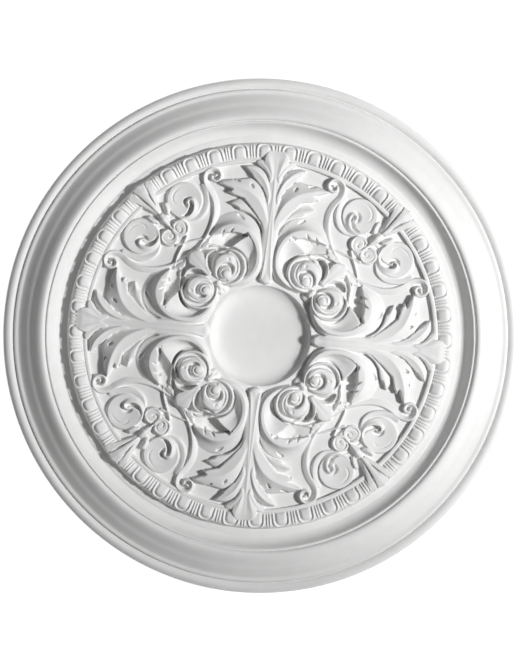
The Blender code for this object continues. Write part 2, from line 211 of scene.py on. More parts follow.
@dataclass
class Relief:
    """Heights of one eighth of the carving, from a leaf's axis to the diagonal, in millimetres."""

    step: float = 0.3125
    left: float = -5.0
    right: float = 190.0
    bottom: float = 43.75
    top: float = 258.75
    margin: float = 5.0
    heights: np.ndarray = field(init=False)

    def __post_init__(self) -> None:
        """Lay out the grid at the level of the bare field."""
        columns = np.arange(self.left, self.right + self.step / 2, self.step)
        rows = np.arange(self.bottom, self.top + self.step / 2, self.step)
        self.x, self.y = np.meshgrid(columns, rows)
        self.ground = self.field_level(np.hypot(self.x, self.y))
        self.heights = self.ground.copy()
        self.inside = (self.y > self.x - self.margin) & (np.hypot(self.x, self.y) > 62.0)

    @staticmethod
    def field_level(radius: np.ndarray) -> np.ndarray:
        """Height of the bare field, which falls evenly from the recess out to the egg band."""
        share = (radius - RECESS_RIM) / (FIELD_RADIUS - RECESS_RIM)
        return FIELD_CENTRE + (FIELD_EDGE - FIELD_CENTRE) * share

    def carve(self, forms: list) -> None:
        """Carve the forms in order, each with what its mirror images bring into this eighth."""
        for form in forms:
            for twin in (form, mirrored(form, False), mirrored(form, True)):
                if isinstance(twin, Blade):
                    self.stretch(twin)
                else:
                    self.run(twin)

    def near(self, low: np.ndarray, high: np.ndarray) -> tuple:
        """Find the cells of this eighth between two corners."""
        columns = np.clip(((np.array([low[0], high[0]]) - self.left) / self.step).astype(int) + (0, 2),
                          0, self.x.shape[1])
        rows = np.clip(((np.array([low[1], high[1]]) - self.bottom) / self.step).astype(int) + (0, 2),
                       0, self.x.shape[0])
        part = (slice(rows[0], rows[1]), slice(columns[0], columns[1]))
        found = np.nonzero(self.inside[part])
        return found[0] + rows[0], found[1] + columns[0]

    def lay(self, cells: tuple, heights: np.ndarray, mode: Mode) -> None:
        """Bring heights over the field into the carving."""
        there = self.heights[cells]
        if mode is Mode.RAISE:
            self.heights[cells] = np.maximum(there, self.ground[cells] + heights)
        elif mode is Mode.COVER:
            self.heights[cells] = self.ground[cells] + heights
        elif mode is Mode.CARVE:
            self.heights[cells] = there - heights
        else:
            self.heights[cells] = there + heights

    def run(self, stroke: Stroke) -> None:
        """Carve a ridge along its centre line."""
        line = curve(stroke.path, stroke.samples)
        shares = np.linspace(0, 1, len(line))
        lefts, rights = along(stroke.left, shares), along(stroke.right, shares)
        reach = max(lefts.max(), rights.max()) + 1.0
        cells = self.near(line.min(0) - reach, line.max(0) + reach)
        if not len(cells[0]):
            return
        step = np.gradient(line, axis=0)
        length = np.linalg.norm(step, axis=1)
        ahead = step / length[:, None]
        aside = np.stack([-ahead[:, 1], ahead[:, 0]], 1)
        places = np.stack([self.x[cells], self.y[cells]], 1)
        nearest = np.empty(len(places), int)
        for start in range(0, len(places), 20000):
            block = places[start:start + 20000]
            gap = (block[:, None, 0] - line[None, :, 0]) ** 2 + (block[:, None, 1] - line[None, :, 1]) ** 2
            nearest[start:start + 20000] = gap.argmin(1)
        offset = places - line[nearest]
        forward = (offset * ahead[nearest]).sum(1)
        sideways = (offset * aside[nearest]).sum(1)
        beyond = ((nearest == 0) & (forward < 0)) | ((nearest == len(line) - 1) & (forward > 0))
        share = shares[nearest] + np.where(beyond, 0, forward) / (length[nearest] * (len(line) - 1))
        share = np.clip(share, 0, 1)
        on_left = sideways >= 0
        width = np.where(on_left, np.interp(share, shares, lefts), np.interp(share, shares, rights))
        cut = np.zeros_like(width)
        if stroke.teeth:
            teeth = stroke.teeth
            place = np.clip((share - teeth.start) / (1 - teeth.start), 0, 1)
            notch = (1 - (place * teeth.count) % 1.0) ** 2.0 * np.minimum(1, place * 5)
            toothed = on_left if teeth.side > 0 else ~on_left
            width = np.where(toothed, width * (1 - teeth.depth * notch), width)
            cut = np.where(toothed, teeth.groove * notch ** 2, 0)
        away = np.where(beyond, np.hypot(sideways, forward), np.abs(sideways))
        part = away / np.maximum(width, 1e-3)
        held = part < 1
        signed = np.where(on_left, part, -part)
        level = across(stroke.section, signed)
        if stroke.tip_section:
            level = level * (1 - share) + across(stroke.tip_section, signed) * share
        level = level - cut * np.abs(signed)
        if stroke.flutes:
            count, depth = stroke.flutes
            level = level - depth * (0.5 - 0.5 * np.cos(signed * np.pi * count))
        wall = np.clip((1 - part) * width / stroke.wall, 0, 1)
        wall = wall * wall * (3 - 2 * wall)
        heights = along(stroke.crown, share) * level * wall
        self.lay((cells[0][held], cells[1][held]), heights[held], stroke.mode)

    def stretch(self, blade: Blade) -> None:
        """Carve a leaf's surface across its rails."""
        rails = [self.read_rail(rail, 220) for rail in blade.rails]
        points = np.stack([rail[0] for rail in rails])
        levels = np.stack([rail[1] for rail in rails])
        if points[..., 0].max() < self.left or (points[..., 1] - points[..., 0]).max() < -self.margin:
            return
        widest = np.linalg.norm(np.diff(points, axis=0), axis=2).sum(0).max()
        count = int(widest / self.step * 2.2) + 6
        at = np.linspace(0, len(rails) - 1, count)
        places = self.blend_rails(points, at)
        heights = self.blend_rails(levels[..., None], at)[..., 0]
        longest = np.linalg.norm(np.diff(places, axis=1), axis=2).sum(1).max()
        repeat = max(1, int(np.ceil(longest / self.step * 2.2 / places.shape[1])))
        fine = np.linspace(0, places.shape[1] - 1, places.shape[1] * repeat)
        low = np.minimum(fine.astype(int), places.shape[1] - 2)
        share = (fine - low)[None, :]
        places = places[:, low] * (1 - share[..., None]) + places[:, low + 1] * share[..., None]
        heights = heights[:, low] * (1 - share) + heights[:, low + 1] * share
        self.splat(places.reshape(-1, 2), heights.reshape(-1), blade.mode)

    @staticmethod
    def read_rail(rail: Rail, count: int) -> tuple:
        """Read a rail's places and heights evenly along its length."""
        points = np.asarray(rail.points, float)
        line = points if rail.sharp else curve(rail.points, 200)
        length = np.concatenate([[0], np.cumsum(np.linalg.norm(np.diff(line, axis=0), axis=1))])
        length = length / length[-1]
        shares = np.linspace(0, 1, count)
        places = np.stack([np.interp(shares, length, line[:, side]) for side in (0, 1)], 1)
        if rail.sharp and len(rail.heights) == len(points):
            return places, np.interp(shares, length, rail.heights)
        return places, along(rail.heights, shares)

    @staticmethod
    def blend_rails(rows: np.ndarray, at: np.ndarray) -> np.ndarray:
        """Read smoothly between rails, at places counted in rails."""
        last = len(rows) - 1
        index = np.minimum(at.astype(int), last - 1)
        share = (at - index)[:, None, None]
        start, end = rows[index], rows[index + 1]
        leave = (end - rows[np.maximum(index - 1, 0)]) / 2
        arrive = (rows[np.minimum(index + 2, last)] - start) / 2
        square, cube = share ** 2, share ** 3
        return (start * (2 * cube - 3 * square + 1) + leave * (cube - 2 * square + share)
                + end * (3 * square - 2 * cube) + arrive * (cube - square))

    def splat(self, places: np.ndarray, heights: np.ndarray, mode: Mode) -> None:
        """Bring closely spaced points into the grid, each shared by the four cells round it."""
        columns = (places[:, 0] - self.left) / self.step
        rows = (places[:, 1] - self.bottom) / self.step
        high, wide = self.x.shape
        kept = (columns > 1) & (columns < wide - 2) & (rows > 1) & (rows < high - 2)
        columns, rows, heights = columns[kept], rows[kept], heights[kept]
        if not len(columns):
            return
        column, row = columns.astype(int), rows.astype(int)
        right, up = columns - column, rows - row
        weight = np.zeros(high * wide)
        total = np.zeros(high * wide)
        for down, over, share in ((0, 0, (1 - up) * (1 - right)), (0, 1, (1 - up) * right),
                                  (1, 0, up * (1 - right)), (1, 1, up * right)):
            flat = (row + down) * wide + column + over
            weight += np.bincount(flat, share, high * wide)
            total += np.bincount(flat, share * heights, high * wide)
        weight, total = weight.reshape(high, wide), total.reshape(high, wide)
        cells = np.nonzero((weight > 1.2) & self.inside)
        self.lay(cells, total[cells] / weight[cells], mode)

    def finish(self, blur: float, top: float) -> None:
        """Round every edge as a mould does, and keep the carving under the solid's top."""
        self.heights = np.minimum(soften(self.heights, blur / self.step), top)

    def sample(self, x: np.ndarray, y: np.ndarray, least: float) -> np.ndarray:
        """Read heights anywhere in the rose, folded into this eighth.

        Args:
            x: Places to the right, in millimetres.
            y: Places up, in millimetres.
            least: How far from a mirror line the nearest reading is, which keeps the seams smooth.

        Returns:
            The height of each place.
        """
        small = np.maximum(np.minimum(np.abs(x), np.abs(y)), least)
        large = np.maximum(np.abs(x), np.abs(y))
        columns = np.clip((small - self.left) / self.step, 0, self.x.shape[1] - 1.001)
        rows = np.clip((large - self.bottom) / self.step, 0, self.x.shape[0] - 1.001)
        column, row = columns.astype(int), rows.astype(int)
        right, up = columns - column, rows - row
        grid = self.heights
        lower = grid[row, column] * (1 - right) + grid[row, column + 1] * right
        upper = grid[row + 1, column] * (1 - right) + grid[row + 1, column + 1] * right
        return lower * (1 - up) + upper * up


def ridge(path: list, width: tuple, crown: tuple, **more: object) -> Stroke:
    """Make a ridge of the same width on both sides, unless left or right is given."""
    left = more.pop("left", width)
    right = more.pop("right", width)
    return Stroke(tuple(path), tuple(left), tuple(right), tuple(crown), **more)


@dataclass
class AcanthusLeaf:
    """The leaf on each axis, with its rib, its lapped lobes and its tip over the egg band."""

    def forms(self) -> list:
        """Carved forms of the leaf, lowest first."""
        return self.body() + self.lobes() + self.tip() + self.pits() + self.rib()

    def body(self) -> list:
        """The ground of the leaf, which falls from the recess and joins the lobes beside the rib."""
        return [ridge([(0, 74), (0, 100), (0, 125), (0, 150), (0, 180), (0, 212)], (9, 11, 12, 12, 12, 10),
                      (9.5, 13.5, 13, 11, 9.5, 10), section=(0.72, 0.93, 1, 0.93, 0.72), wall=3.0)]

    def lobes(self) -> list:
        """The lapped lobes: an upper face to each free edge and a hollow face that falls from the crest."""
        side = [((3, 205), (8, 214), (13, 221), (19, 224.5), (25, 223)), (11, 11, 11, 10.5, 9),
                ((4, 199), (9, 208), (14.5, 215), (19.5, 219.5), (25, 222.5)), (11, 11.4, 11.4, 10.6, 9),
                ((6, 196), (9, 204.5), (14.5, 211.5), (21, 216), (25, 220)), (10.4, 10, 9.4, 8.6, 8.4)]
        high = [((5, 188), (8, 200), (13, 208), (21, 214), (30, 216), (39, 214.5)), (8.8, 7.6, 6.6, 6, 6.2, 7.4),
                ((4, 176), (8, 188), (14, 199), (22, 207), (31, 212.5), (39, 214.5)), (10.8, 11.8, 12.4, 12, 10.8, 9),
                ((6, 168), (9, 178), (15, 189), (23, 197), (28, 202), (30, 205.5), (34, 209), (39, 214.5)),
                (10.6, 10.4, 10, 9.6, 9.4, 9.2, 9, 8.6)]
        wide = [((5, 158), (9, 173), (13, 184), (19.5, 193), (27, 198), (33, 199.5), (44, 197), (56, 195.5),
                 (70, 190.5)), (9, 8, 7, 6.2, 6, 6.2, 7.4, 8.8, 10.5),
                ((4, 146), (9.5, 159), (17, 171), (28, 180.5), (43, 187), (57, 190), (70, 190.5)),
                (11.4, 12.8, 13.6, 13.8, 13.6, 13, 11.4),
                ((5, 128), (12, 144), (24, 159), (37, 173), (50, 176.5), (58, 179.5), (51, 183), (61, 186.5),
                 (70, 190.5)), (11.4, 11, 11, 11.2, 11.4, 10.8, 10.8, 10.8, 11)]
        low = [((5, 128), (12, 144), (24, 159), (36, 172), (46, 171), (54, 166)), (10, 6.6, 4, 2.6, 3, 5),
               ((6, 130), (13, 143), (23, 154), (34, 162), (45, 165), (54, 166)), (10.8, 9.4, 8.6, 8.6, 8.8, 9),
               ((8, 131), (12, 139), (18, 147.5), (28, 154.5), (41, 158), (44, 161.5), (54, 166)),
               (10, 9, 8.6, 8.6, 8.6, 8.8, 9.4)]
        forms = []
        for upper, rise, crest, top, lower, fall in (side, high, wide):
            forms.append(Blade((Rail(upper, rise), Rail(crest, top))))
            middle, dip = self.between(crest, top, lower, fall, 0.5, 0.1)
            forms.append(Blade((Rail(crest, top), Rail(middle, dip), Rail(lower, fall, True))))
        forms.append(Blade((Rail(low[0], low[1]), Rail(low[2], low[3]), Rail(low[4], low[5], True))))
        return forms

    @staticmethod
    def between(crest: tuple, top: tuple, lower: tuple, fall: tuple, share: float, sag: float) -> tuple:
        """Lay a middle rail between a crest and a lower edge, sunk by a share of their difference."""
        shares = np.linspace(0, 1, 9)
        rails = [Relief.read_rail(Rail(points, heights), 9) for points, heights in ((crest, top), (lower, fall))]
        places = rails[0][0] * (1 - share) + rails[1][0] * share
        level = rails[0][1] * (1 - share) + rails[1][1] * share
        level = level - sag * np.maximum(0, rails[0][1] - rails[1][1]) * np.sin(np.pi * shares) ** 0.5
        return tuple(map(tuple, places)), tuple(level)

    def tip(self) -> list:
        """The end of the leaf, which curls down over the egg band."""
        crest = ((2.5, 196), (5, 208), (8, 219), (10.5, 226), (11, 231.5), (9.5, 238))
        rise = (8, 11.4, 12.6, 13.6, 13.6, 11.6)
        return [
            Blade((Rail(((-1, 196), (-1, 208), (-1, 218), (-1, 225), (-1, 231), (-1, 237)), (8, 10.8, 11.2, 12, 12.6, 11)),
                   Rail(((1, 196), (1.5, 208), (2.5, 218), (4, 225), (4.5, 231), (4.5, 238)), (8, 10.6, 11, 12, 12.6, 11)),
                   Rail(crest, rise))),
            Blade((Rail(crest, rise),
                   Rail(((6, 202), (11, 213), (14.5, 220), (16, 226), (14.4, 232), (9.5, 238)), (8, 10, 11.4, 12.4, 12.6, 11.6),
                        True)))]

    def pits(self) -> list:
        """Small eyes and nicks between the teeth."""
        pit = {"section": (0.4, 1, 0.4), "mode": Mode.CARVE, "wall": 0.8}
        pits = [((27, 188.5), (29, 191.5), 1.8, 6), ((54, 177), (55.5, 179), 1.4, 3), ((45, 194.5), (52, 196), 1.3, 5)]
        return [ridge([start, end], (wide, wide), (deep, deep), **pit) for start, end, wide, deep in pits]

    def rib(self) -> list:
        """The hollow rib that tapers from the recess to the tip."""
        return [ridge([(0, 67.6), (0, 73), (0, 84), (0, 98), (0, 113), (0, 130), (0, 150), (0, 175), (0, 200), (0, 218)],
                      (0.6, 8.4, 6.4, 5.2, 4.4, 3.7, 3.1, 2.5, 2.0, 1.6),
                      (7, 10, 13.4, 15, 15.2, 14.4, 12.9, 12, 11.8, 13), section=(1, 0.9, 0.86, 0.9, 1))]


@dataclass
class Rosette:
    """The curled leaf beside the rib, and the fluted roll in its bowl."""

    lip: tuple = ((43, 61), (30, 65.5), (19, 73.5), (12, 84), (9.8, 97), (11.5, 112), (18, 125), (28, 134),
                  (40, 138.5), (52, 138), (63, 133), (74, 123.5))
    lip_heights: tuple = (8, 11, 13, 14.5, 15.5, 16, 16.2, 16, 15.6, 15, 13.4, 9)

    def forms(self) -> list:
        """Carved forms of the curled leaf and its rosette, lowest first."""
        return self.shell() + self.fan() + self.roll() + self.petals()

    def shell(self) -> list:
        """The curled leaf: its outer flank, its torn lip and the lobe inside it."""
        foot = ((44, 58.5), (30, 62), (17, 69), (9, 80), (6.5, 96), (7, 112), (10.5, 128), (18, 142.5), (28, 151),
                (41, 155), (54, 153), (66, 146), (75, 134), (77, 123.5))
        foot_heights = (2, 2, 4, 9, 12, 11, 8, 5.5, 4, 3, 1, 0.5, 0.5, 0.5)
        middle, sunk = AcanthusLeaf.between(self.lip, self.lip_heights, foot, foot_heights, 0.4, 0.28)
        flank = Blade((Rail(self.lip, self.lip_heights), Rail(middle, sunk), Rail(foot, foot_heights)))
        inside = ((44, 63), (33, 69), (23, 77), (17, 87), (15, 97), (16.5, 109), (21, 118.5), (26.5, 126),
                  (36, 127.5), (46, 128.5), (53, 127), (63, 125.5), (74, 122))
        step = ((44, 62), (32, 67), (21, 75.5), (14.5, 86), (12.5, 97), (14, 110.5), (20, 121.5), (28, 130),
                (39, 133.5), (51, 133), (63, 129.5), (74, 123))
        band = Blade((Rail(self.lip, self.lip_heights),
                      Rail(step, (8, 10.5, 12.5, 14, 15, 15.8, 16.2, 16.2, 15.8, 15, 13.2, 9)),
                      Rail(inside, (7, 9.5, 11.5, 13, 14.4, 15.4, 16.2, 16.2, 16, 15.4, 14.6, 13, 9))), Mode.COVER)
        lobe = Blade((
            Rail(((44, 63), (33, 69), (23, 77), (17, 87), (15, 97), (16, 108), (20, 118), (27, 126)),
                 (7, 9, 11, 12.4, 13.2, 13.6, 14, 14.4)),
            Rail(((42, 63), (31, 70), (22.6, 79), (19, 90), (20.5, 100.5), (26, 109.5), (31.6, 115.6), (36.6, 119.8)),
                 (6, 6.6, 6, 5.6, 6, 7.6, 10.4, 13.4)),
            Rail(((42, 64), (33, 71), (25.5, 81), (24, 91), (27.5, 99), (34, 105), (41, 108.5), (47.5, 110)),
                 (6, 5, 3.6, 3.2, 3.8, 6.4, 10, 12.6))), Mode.COVER)
        tear = {"section": (0.7, 1, 0.7), "mode": Mode.CARVE, "wall": 0.9}
        hollow = Blade((
            Rail(((25, 125), (36, 127), (46, 128), (53, 127), (63, 125), (73, 121.5)), (4, 1, -1, 0, 2, 4)),
            Rail(((27, 121), (37, 121), (46, 120.5), (54, 119.5), (64, 119), (74, 118)), (3, -1, -3, -2, 1, 3)),
            Rail(((30, 114), (38, 112), (46, 110), (55, 109), (66, 110), (76, 112)), (4, 0, -2, 0, 2, 3))), Mode.COVER)
        return [flank, band, hollow, lobe,
                ridge([(29, 127.4), (32.4, 126.6)], (2.6, 2.2), (7, 6), section=(0.7, 1, 0.7), mode=Mode.CARVE, wall=1.2),
                ridge([(46.5, 134.5), (49, 130), (51.5, 125.5)], (0.4, 1.5, 2.8), (2, 6, 5), **tear),
                ridge([(58.5, 131.5), (59.5, 128), (61, 124)], (0.4, 1.2, 2.2), (2, 5, 4), **tear),
                ridge([(35, 146.5), (38.5, 149), (42, 151)], (1, 2.2, 1.6), (2, 3, 3), **tear)]

    def fan(self) -> list:
        """The bowl of the rosette, the rim round its left and the smooth disc inside the rim."""
        return [
            ridge([(50, 82), (50.6, 84)], (24, 24), (10, 10), section=(0.6, 0.92, 1, 0.92, 0.6), wall=3.0),
            ridge([(59, 61.5), (49, 61), (39.6, 64), (32.4, 70), (28.6, 78), (28.2, 87), (31.2, 95.6), (38, 102.4),
                   (47, 105.8), (55, 105)], (1.2, 2.0, 2.4, 2.6, 2.7, 2.7, 2.6, 2.4, 2.0, 1.2),
                  (12, 13, 13.6, 14, 14.2, 14.2, 14.2, 14.6, 15, 13), section=(0.4, 0.9, 1, 0.86, 0.5), wall=1.0,
                  samples=140),
            ridge([(51.6, 81.6), (52, 83.6)], (18.4, 18.4), (15.6, 15.6), section=(0.8, 0.97, 1, 1, 0.94), wall=1.6)]

    def roll(self) -> list:
        """The broad petal that wraps the roll, and the roll, cut by a turn of a groove."""
        cut = {"mode": Mode.CARVE, "wall": 0.7, "samples": 120}
        petal = ridge([(45, 86), (49, 92.6), (56, 93), (61.6, 88), (64.4, 80), (64, 71)], (5, 8, 8, 7, 4.6, 2.4),
                      (16.2, 17.4, 18, 17.8, 16.8, 15.6), section=(0.9, 0.99, 1, 0.98, 0.86), wall=2.4)
        line = ridge([(45, 99), (40.4, 93), (37.8, 86), (38, 79), (41, 73)], (0.4, 1.1, 1.3, 1.2, 0.4),
                     (1, 3.4, 4, 3.4, 1), section=(0.9, 0.7, 0.1), **cut)
        moat = ridge([(45.6, 73), (43.4, 77.6), (44.2, 83.4), (49, 86.6), (55.4, 86), (60, 81.6), (61.6, 75),
                      (60, 68.6), (56, 64.4)], (0.6, 2.1, 2.7, 2.4, 2.1, 1.8, 1.5, 1.1, 0.4),
                     (1, 6, 8, 7.6, 7, 6.4, 5.4, 3.6, 1), section=(0.7, 1, 0.5), **cut)
        drum = ridge([(51, 75.6), (51.6, 75.2)], (8.4, 8.4), (19.7, 19.7), section=(0.84, 0.95, 1, 0.95, 0.84), wall=1.4)
        turn = ridge([(46.6, 77), (50, 79.8), (54.4, 78.8), (56.4, 75), (54.8, 71), (50.6, 69.4)],
                     (0.4, 1.0, 1.3, 1.3, 1.1, 0.4), (1, 3.6, 4.6, 4.4, 3.4, 1), section=(0.1, 0.7, 0.95), **cut)
        dent = ridge([(49, 92.6), (49.8, 94)], (1.9, 1.9), (1.3, 1.3), section=(0.2, 1, 0.2), **cut)
        slit = ridge([(49, 105), (53, 103), (57.6, 100.6), (62.4, 97.6)], (0.5, 1.3, 1.3, 0.5), (3, 6.4, 6, 2),
                     section=(0.6, 1, 0.6), **cut)
        edge = ridge([(56, 94.6), (62.6, 90.6), (66.4, 84), (66.8, 76), (65, 69)], (0.4, 0.9, 1, 0.9, 0.4),
                     (0.5, 1, 1.3, 1.1, 0.5), section=(0.1, 0.7, 0.9), **cut)
        return [petal, drum, line, moat, turn, dent, slit, edge]

    def petals(self) -> list:
        """The thin edge of the tongue beside the rosette, with the deep gap between them."""
        return [ridge([(66, 104), (73, 101.5), (77.4, 96), (78.4, 88.6), (76.4, 81), (72.6, 74.4)],
                      (1.0, 1.8, 1.8, 1.8, 1.8, 1.4), (11, 13, 13.6, 14, 14.6, 14.4),
                      section=(0.5, 0.9, 1, 0.9, 0.7), wall=1.0),
                ridge([(68.4, 100), (72.4, 94), (73.2, 87), (72.2, 80.4), (70.4, 74.6)], (3.4, 3.2, 2.4, 1.4, 0.4),
                      (10, 12, 11, 8, 3), section=(0.7, 1, 0.7), mode=Mode.CARVE, wall=0.9)]


@dataclass
class Calyx:
    """The bud, the tongue on the diagonal and the torn sheath that the scrolls grow from."""

    def forms(self) -> list:
        """Carved forms on and beside the diagonal, lowest first."""
        ground = ridge([(66, 66), (80, 80), (90, 90)], (16, 17, 14), (9, 8.5, 7), section=(0.5, 0.9, 1, 0.9, 0.5),
                       wall=5.0)
        tongue = Blade((
            Rail(((70, 75), (77, 84), (80.4, 93), (84, 99.4), (91, 101), (97.5, 98.9)), (13.6, 13.4, 12.6, 11.6, 10.8, 9.6)),
            Rail(((70.6, 73.2), (79.4, 83.6), (85.6, 91.6), (90, 96.6), (94.6, 98.8), (98, 98.8)),
                 (14, 14, 13.6, 12.8, 11.8, 9.8)),
            Rail(((71, 71), (81, 81), (88, 88), (93, 93), (96.6, 96.6), (98.6, 98.6)), (14, 13.8, 13.4, 12.8, 11.8, 9.8))))
        bud = ridge([(57.6, 57.6), (61, 61)], (5.2, 5.4), (13.6, 14.6), section=(0.4, 0.85, 1, 0.85, 0.4), wall=1.8)
        foot = Blade((
            Rail(((57, 59), (52.5, 60), (48.5, 57), (47.4, 53.4)), (7, 6, 4.6, 2.6)),
            Rail(((57, 58), (53.4, 56.4), (50.4, 53.8), (49.4, 51.2)), (9, 7, 5.4, 3)),
            Rail(((57, 57), (54, 54), (51.4, 51.4), (50, 50)), (8, 5.6, 4.2, 2.6))))
        sheath = Blade((
            Rail(((52, 121), (60, 123.5), (68, 124), (76, 122), (84, 116), (92, 106)), (2, 1.6, 1.4, 1.4, 1.6, 2.6)),
            Rail(((52, 115), (60, 117), (69, 117.5), (77, 115), (85, 110), (93, 102.5)), (3.4, 4.4, 5, 5.2, 5.4, 6)),
            Rail(((54, 107), (62, 108.5), (71, 108), (80, 105), (88, 101), (95, 98)), (3, 6, 7.6, 8, 8, 7.6))))
        dome = ridge([(54, 110.5), (61, 110.5)], (4.4, 4.0), (8.4, 8), section=(0.5, 0.9, 1, 0.9, 0.5), wall=2)
        cut = {"section": (0.4, 1, 0.4), "mode": Mode.CARVE, "wall": 1.2}
        return [
            ground, tongue, sheath, dome,
            ridge([(66, 112), (72, 110.5), (76.5, 108), (77.5, 105.5)], (0.5, 1.3, 1.7, 1), (1.6, 3, 4, 3), **cut),
            ridge([(71, 116.8), (73, 115.8)], (1.5, 1.3), (4, 4), **cut),
            ridge([(77, 117.5), (82, 114), (86, 109.5), (86, 106.5)], (0.5, 1.4, 1.8, 1), (1.6, 3, 4, 3), **cut),
            ridge([(64, 123), (68, 120.5), (72, 120)], (1.6, 1.2, 0.4), (4, 3, 1.6), **cut),
            bud, foot]


@dataclass
class ScrollWork:
    """The long scroll, the outer scroll, the small volutes, the bells and the husk."""

    def forms(self) -> list:
        """Carved forms of the scrolls, lowest first."""
        return self.small_volute() + self.long_scroll() + self.outer_scroll() + self.bells() + self.husk()

    def long_scroll(self) -> list:
        """The stem that sweeps out from the calyx and ends in a hook under the egg band."""
        stem = ((93, 97), (85, 111), (77.8, 125), (73.4, 140), (72.3, 153), (74.2, 165), (79.6, 176), (86, 184.5),
                (89, 193), (88, 201), (82, 206.2), (75, 206), (70.5, 201), (71, 195.2), (75.5, 192.4), (79.8, 194.6),
                (80.2, 199))
        return [ridge(stem, (1.6, 2.2, 2.6, 3, 3.2, 3.4, 3.4, 3.2, 3.2, 3.4, 3.4, 3.3, 3.1, 2.8, 2.4, 2, 1.4),
                      (6, 5.6, 5, 4.8, 4.8, 4.8, 4.8, 5, 6, 8, 9, 9, 9, 9, 9, 9, 8),
                      left=(1.6, 2.4, 3.6, 4.6, 5.4, 5.6, 5.4, 4.8, 4, 3.6, 3.4, 3.3, 3.1, 2.8, 2.4, 2, 1.4),
                      section=(0.95, 1, 0.94, 0.62, 0.2), tip_section=(0.9, 1, 0.9, 0.7, 0.5), wall=0.9, samples=200),
                ridge([(75, 199.5), (76.5, 199)], (2.6, 2.6), (9, 9), section=(0.5, 1, 0.5), wall=1.4)]

    def outer_scroll(self) -> list:
        """The dished disc with its thin line, and the arm that curls round a deep pit in it."""
        cut = {"mode": Mode.CARVE, "wall": 0.8, "samples": 140}
        disc = ridge([(112.4, 163.4), (112.8, 163.8)], (23.4, 23.4), (5.2, 5.2),
                     section=(1, 0.82, 0.62, 0.56, 0.62, 0.82, 1), wall=1.1)
        bank = ridge([(92, 184), (87.6, 174), (86.6, 163), (89, 152), (95, 144), (104, 139.6)], (3, 5, 6, 6, 5, 2.4),
                     (4, 4.6, 4.6, 4.6, 4.6, 4), section=(1, 0.96, 0.8, 0.4, 0.06), wall=0.4)
        line = ridge([(115, 181), (121.6, 178), (127, 171.6), (128.4, 164.6), (125.6, 159), (121.4, 158)],
                     (0.4, 0.9, 1.1, 1.1, 0.9, 0.4), (0.6, 1.8, 2.4, 2.4, 2.2, 1), section=(0.9, 0.6, 0.1), **cut)
        arm = ridge([(127, 146), (115, 140.9), (105.6, 143.8), (100.6, 150.6), (99.6, 158), (101.8, 164),
                     (106.2, 165.2), (108.8, 161.6), (107, 158)], (1, 1.4, 1.6, 1.7, 1.6, 1.5, 1.4, 1.3, 0.8),
                    (5.6, 6.4, 7.6, 8.6, 9, 9.2, 9.2, 9, 8), left=(1, 3, 7, 9, 8.4, 5.6, 2.6, 1.6, 1),
                    section=(0.86, 0.97, 1, 0.64, 0.24), wall=0.8, samples=140)
        pit = ridge([(114, 143.4), (107.6, 146), (104, 151.6), (103, 157.4), (104.4, 161.6)],
                    (0.6, 2.4, 3.2, 2.2, 0.7), (1, 5.6, 7.6, 8, 3), section=(0.25, 0.8, 1, 1, 0.9), **cut)
        bend = ridge([(104.4, 168.2), (109.4, 167), (112.6, 162), (111, 156.8), (108.4, 154.6)],
                     (0.5, 1.9, 2.4, 1.9, 0.6), (1, 4.4, 5.6, 4.6, 1), section=(0.9, 1, 0.9, 0.6, 0.15), **cut)
        return [disc, bank, arm, line, pit, bend]

    def small_volute(self) -> list:
        """The strand from the other leaf's calyx, which ends in a small volute beside the diagonal."""
        cut = {"mode": Mode.CARVE, "wall": 0.6, "samples": 140}
        heart = ridge([(119, 119), (123, 123)], (8.6, 9.6), (5.8, 5.8), section=(0.9, 0.8, 0.76, 0.8, 0.9), wall=1.2)
        plate = ridge([(114.2, 127.4), (114.6, 127.8)], (11.4, 11.4), (7.2, 7.2),
                      section=(1, 0.86, 0.78, 0.76, 0.78, 0.86, 1), wall=1.1)
        strand = ridge([(117, 58), (117.6, 74), (115.6, 89), (111.6, 101), (107.6, 111), (105.6, 118)],
                       (1.1, 1.2, 1.3, 1.4, 1.8, 2.2), (6, 5.5, 5.5, 5.5, 6, 6.6), section=(0.5, 1, 0.5), wall=0.8)
        line = ridge([(110, 120), (107.6, 124.6), (107.8, 130), (111, 134.6), (115.4, 136)],
                     (0.4, 0.9, 1, 0.9, 0.4), (0.8, 2, 2.2, 2, 0.8), section=(0.2, 0.8, 0.9), **cut)
        gap = ridge([(117, 139.8), (122.6, 138.6), (126.4, 134.6), (126.8, 130), (123.4, 126.6), (121.6, 124.4)],
                    (0.5, 1.5, 1.9, 1.7, 1.1, 0.4), (2, 6, 8, 7, 4, 1), section=(0.8, 1, 0.8), **cut)
        turn = ridge([(117.6, 134.8), (121.4, 130), (120, 124.2), (115.8, 121.8), (112.8, 124.2), (113.8, 127.6),
                      (116.4, 127.6)], (0.4, 1, 1.2, 1.1, 1, 0.9, 0.4), (1, 2.8, 3.2, 3, 2.8, 2.4, 1),
                     section=(0.3, 0.9, 0.8), **cut)
        link = ridge([(126, 126), (131, 131)], (1.6, 2.4), (6.4, 8), section=(0.6, 1, 0.6))
        return [heart, plate, line, turn, gap, strand, link]

    def bells(self) -> list:
        """The little bells between the volutes and the husk."""
        body = {"section": (0.4, 0.84, 1, 0.84, 0.4), "wall": 1.6}
        return [ridge([(132.4, 145), (133.6, 150), (136.4, 155.4)], (3.4, 4.4, 4.2), (7.4, 9, 8.6), **body),
                ridge([(131, 131), (136.4, 136.4), (140, 140)], (4, 6.4, 5.6), (7.6, 10.4, 9.4), **body)]

